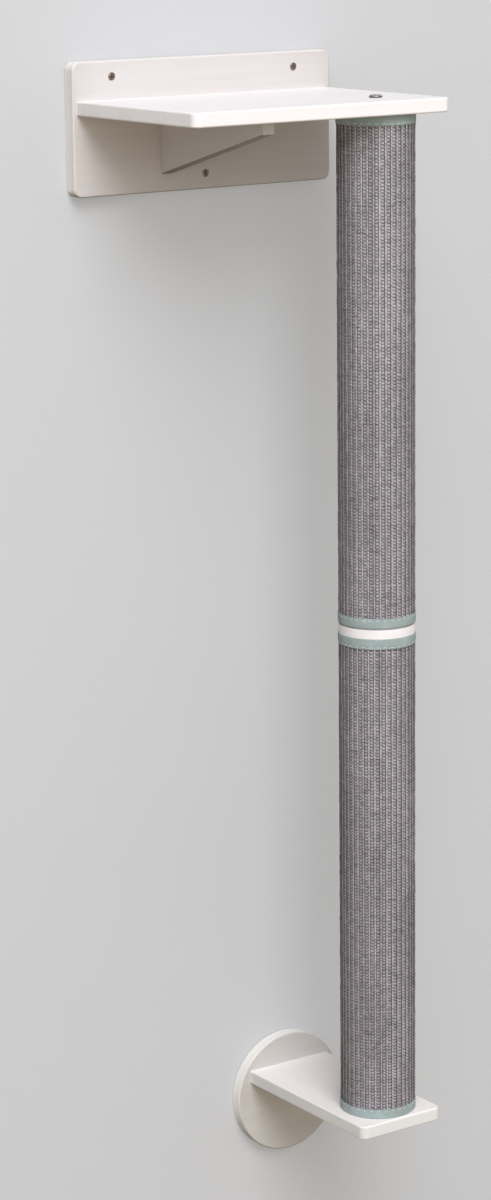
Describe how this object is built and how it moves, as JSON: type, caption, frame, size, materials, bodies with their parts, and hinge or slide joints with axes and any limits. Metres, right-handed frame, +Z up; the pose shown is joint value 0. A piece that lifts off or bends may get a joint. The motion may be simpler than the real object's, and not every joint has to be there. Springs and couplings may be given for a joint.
{
  "type": "wall mounted cat tree",
  "caption": "Wall shelf with a tall woven scratching post under it, whose foot stands on an arm fixed to a round wall disc.",
  "frame": {"origin": "centre of the wall plate's back face, on the wall plane", "axes": "+X to the right seen from the front, -Y out of the wall towards the room, +Y into the wall, +Z up along the post"},
  "size_m": [0.334, 0.2713, 1.2545],
  "materials": {
    "white_board": "satin white paint on board",
    "white_ring": "satin",
    "woven_grey": "coarse ribbed weave",
    "teal_tape": "plain tape",
    "bronze_steel": "dark bronze plating",
    "zinc_steel": "zinc plating",
    "cardboard": "brown wound paper",
    "bare_wood": "bare"
  },
  "bodies": {
    "root": {"wall_plate": "white_board", "shelf": "white_board", "shelf_bracket": "white_board", "plate_wall_screw_left": "bronze_steel", "plate_wall_screw_right": "bronze_steel", "plate_wall_screw_low": "bronze_steel", "shelf_screw_left": "zinc_steel", "shelf_screw_middle": "zinc_steel", "shelf_screw_right": "zinc_steel", "bracket_screw_back": "zinc_steel", "bracket_dowel_back": "bare_wood", "bracket_dowel_front": "bare_wood", "upper_tube": "cardboard", "upper_woven_sleeve": "woven_grey", "upper_top_binding": "teal_tape", "upper_top_plug": "bare_wood", "upper_top_tee_nut": "zinc_steel", "upper_bottom_binding": "teal_tape", "upper_bottom_plug": "bare_wood", "upper_bottom_tee_nut": "zinc_steel", "lower_tube": "cardboard", "lower_woven_sleeve": "woven_grey", "lower_top_binding": "teal_tape", "lower_top_plug": "bare_wood", "lower_top_tee_nut": "zinc_steel", "lower_bottom_binding": "teal_tape", "lower_bottom_plug": "bare_wood", "lower_bottom_tee_nut": "zinc_steel", "post_ring": "white_ring", "post_stud": "zinc_steel", "post_top_bolt": "bronze_steel", "post_bottom_bolt": "bronze_steel", "wall_disc": "white_board", "arm": "white_board", "disc_wall_screw_left": "bronze_steel", "disc_wall_screw_right": "bronze_steel", "arm_screw_left": "zinc_steel", "arm_screw_right": "zinc_steel"}
  },
  "joints": []
}
